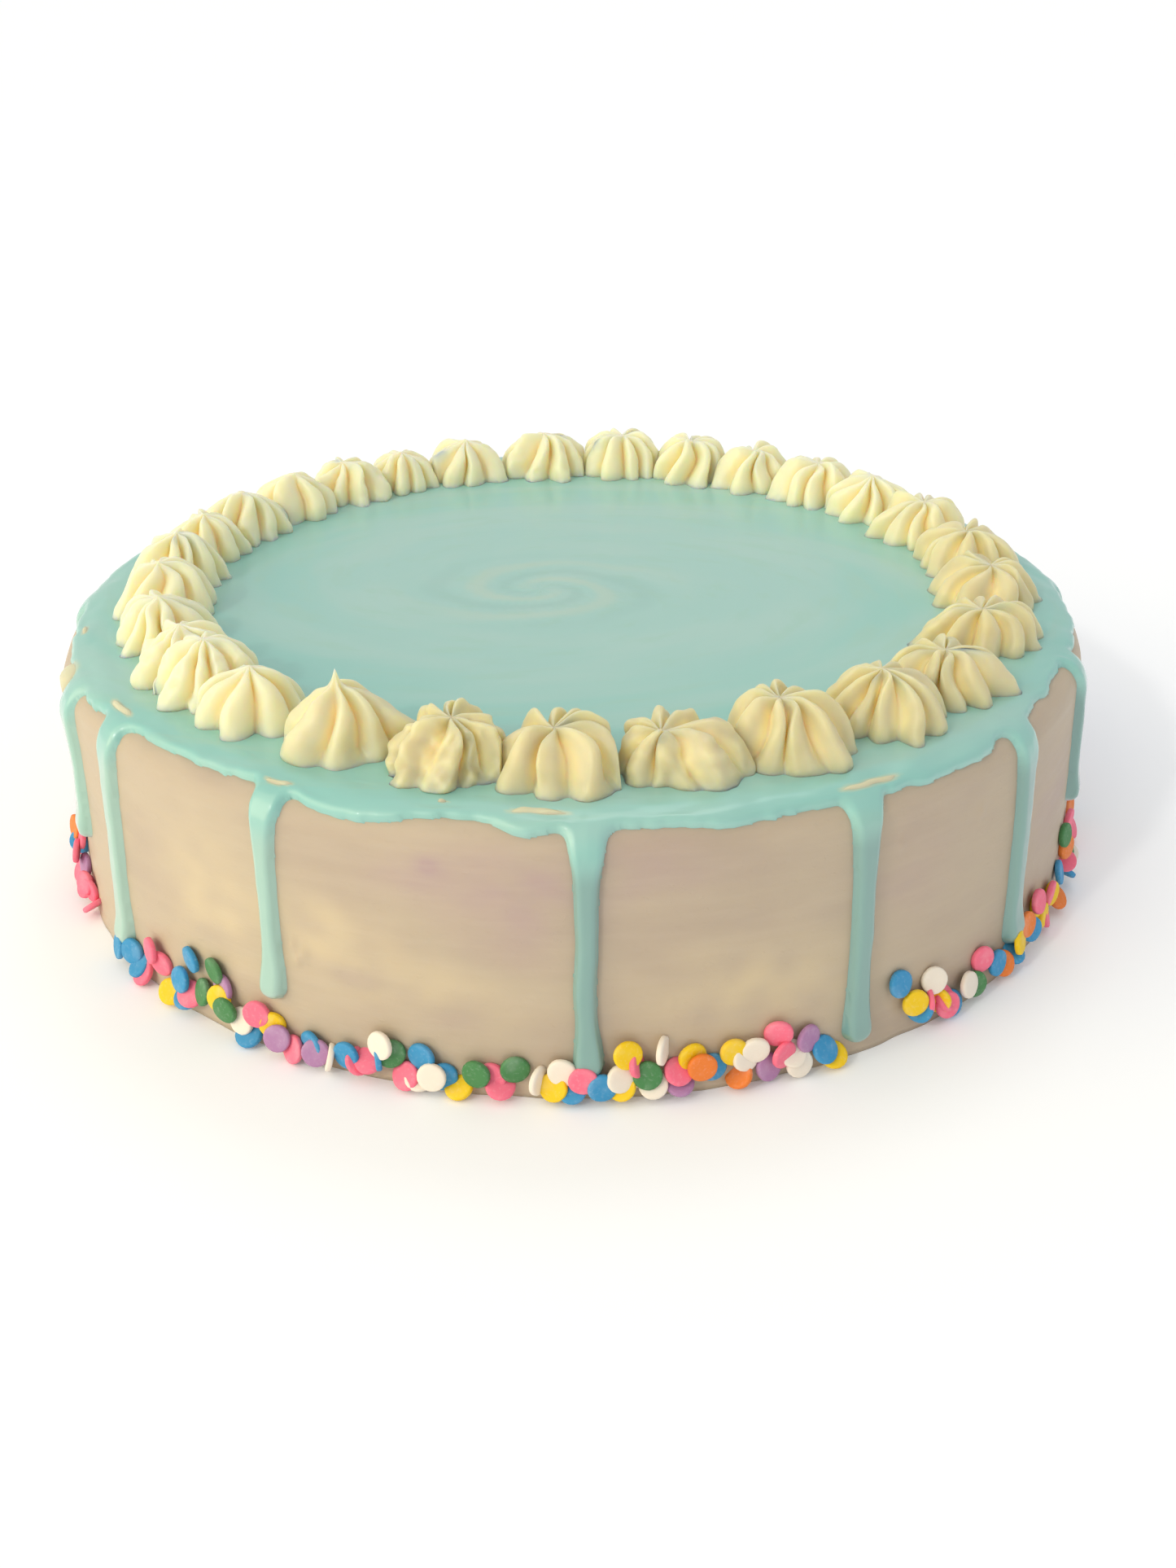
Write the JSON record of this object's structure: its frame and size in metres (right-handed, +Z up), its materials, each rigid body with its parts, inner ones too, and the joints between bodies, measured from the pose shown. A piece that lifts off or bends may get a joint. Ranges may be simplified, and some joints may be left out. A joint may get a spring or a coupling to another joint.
{
  "type": "birthday cake",
  "caption": "Round frosted birthday cake with a mint drip glaze, a ring of piped buttercream stars around the top and confetti sprinkles around the foot.",
  "frame": {"origin": "middle of the cake's flat base, at the level it rests on", "axes": "+Z up out of the top of the cake; -Y is the front of the cake, as the picture sees it; +X to the right seen from the front"},
  "size_m": [0.2497, 0.2465, 0.0742],
  "materials": {
    "frosting": null,
    "mint_glaze": null,
    "buttercream": null
  },
  "bodies": {
    "root": {"cake": "frosting", "drip_glaze": "mint_glaze", "rosette_01": "buttercream", "rosette_02": "buttercream", "rosette_03": "buttercream", "rosette_04": "buttercream", "rosette_05": "buttercream", "rosette_06": "buttercream", "rosette_07": "buttercream", "rosette_08": "buttercream", "rosette_09": "buttercream", "rosette_10": "buttercream", "rosette_11": "buttercream", "rosette_12": "buttercream", "rosette_13": "buttercream", "rosette_14": "buttercream", "rosette_15": "buttercream", "rosette_16": "buttercream", "rosette_17": "buttercream", "rosette_18": "buttercream", "rosette_19": "buttercream", "rosette_20": "buttercream", "rosette_21": "buttercream", "rosette_22": "buttercream", "rosette_23": "buttercream", "rosette_24": "buttercream", "rosette_25": "buttercream", "rosette_26": "buttercream", "rosette_27": "buttercream", "rosette_28": "buttercream", "rosette_29": "buttercream"}
  },
  "joints": []
}
